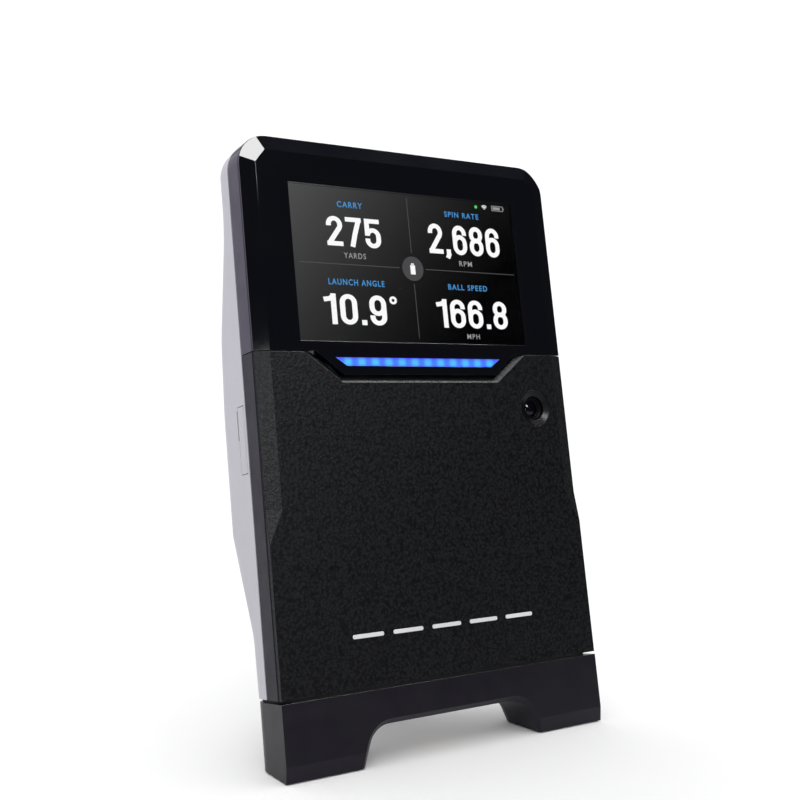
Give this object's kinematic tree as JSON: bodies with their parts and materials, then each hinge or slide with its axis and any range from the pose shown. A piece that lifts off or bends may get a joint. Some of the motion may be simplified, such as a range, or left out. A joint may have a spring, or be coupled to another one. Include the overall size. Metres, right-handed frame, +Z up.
{
  "type": "launch monitor",
  "caption": "Leaning slab launch monitor with a screen, light bar, radar cover, camera window, footed base and fold-out rear kickstand.",
  "frame": {"origin": "centre of the footprint box, on the floor that the feet stand on", "axes": "+Z up, -Y is the side the screen faces, +X to the right seen from the front; the face leans back 9.2 degrees"},
  "size_m": [0.152, 0.0866, 0.2464],
  "materials": {
    "gloss_black": "polished",
    "clear_glass": "polished",
    "screen_black": "glossy",
    "textured_black": "fine leather-like grain",
    "frame_grey": "satin",
    "shell_silver": "satin",
    "light_blue": "glowing diffuser",
    "trim_silver": "satin",
    "black_rubber": "matte",
    "circuit_board": "solder mask",
    "copper_patch": "gold-plated copper",
    "steel": "zinc-plated",
    "dark_alloy": "bead-blasted and anodised",
    "bare_alloy": "extruded",
    "brass": "machined",
    "battery_wrap": "shrink-wrapped steel cell",
    "inner_plastic": "moulded"
  },
  "bodies": {
    "body": {"base": "frame_grey", "base_gasket": "black_rubber", "base_screws": "steel", "battery_cells": "battery_wrap", "battery_holder": "inner_plastic", "board_screws": "steel", "button_board": "circuit_board", "camera_barrel": "inner_plastic", "camera_board": "circuit_board", "camera_lens": "clear_glass", "camera_trim_ring": "gloss_black", "card_slot": "steel", "chassis": "dark_alloy", "display_bezel": "gloss_black", "display_bracket": "steel", "display_glass": "clear_glass", "display_panel": "screen_black", "display_ribbon": "copper_patch", "foot_pads": "black_rubber", "front_trim_bars": "trim_silver", "heat_sink": "bare_alloy", "io_board": "circuit_board", "kickstand_bracket": "dark_alloy", "kickstand_pin": "steel", "kickstand_screws": "steel", "kickstand_washers": "steel", "led_board": "circuit_board", "led_light_bar": "light_blue", "lower_rail_left": "frame_grey", "lower_rail_right": "frame_grey", "main_board": "circuit_board", "port_cover_pin": "steel", "power_switch": "inner_plastic", "radar_board": "circuit_board", "radar_patches": "copper_patch", "radar_screws": "steel", "radar_shield": "steel", "radome_cover": "textured_black", "rear_shell": "shell_silver", "rear_shell_screws": "steel", "shell_gasket": "black_rubber", "speaker": "inner_plastic", "top_rail": "frame_grey", "tripod_insert": "brass", "upper_rail_left": "frame_grey", "upper_rail_right": "frame_grey", "usb_c_port": "steel", "wifi_antenna": "copper_patch"},
    "kickstand": {"kickstand_leg": "dark_alloy", "kickstand_foot": "black_rubber"},
    "port_door": {"port_cover": "shell_silver"},
    "button": {"power_button": "shell_silver"}
  },
  "joints": [
    {"name": "kickstand_swing", "type": "hinge", "parent": "body", "child": "kickstand", "pos_m": [0, 0.01872, 0.08703], "axis": [-1, 0, 0], "range_deg": [0, 35.7]},
    {"name": "port_cover_hinge", "type": "hinge", "parent": "body", "child": "port_door", "pos_m": [-0.07485, -0.00864, 0.1254], "axis": [0, 0.1599, 0.9871], "range_deg": [0, 95]},
    {"name": "power_button_press", "type": "slide", "parent": "body", "child": "button", "axis": [-1, 0, 0], "range_m": [0, 0.0007], "stiffness_N_per_m": 1200, "springref_m": -0.0004}
  ]
}
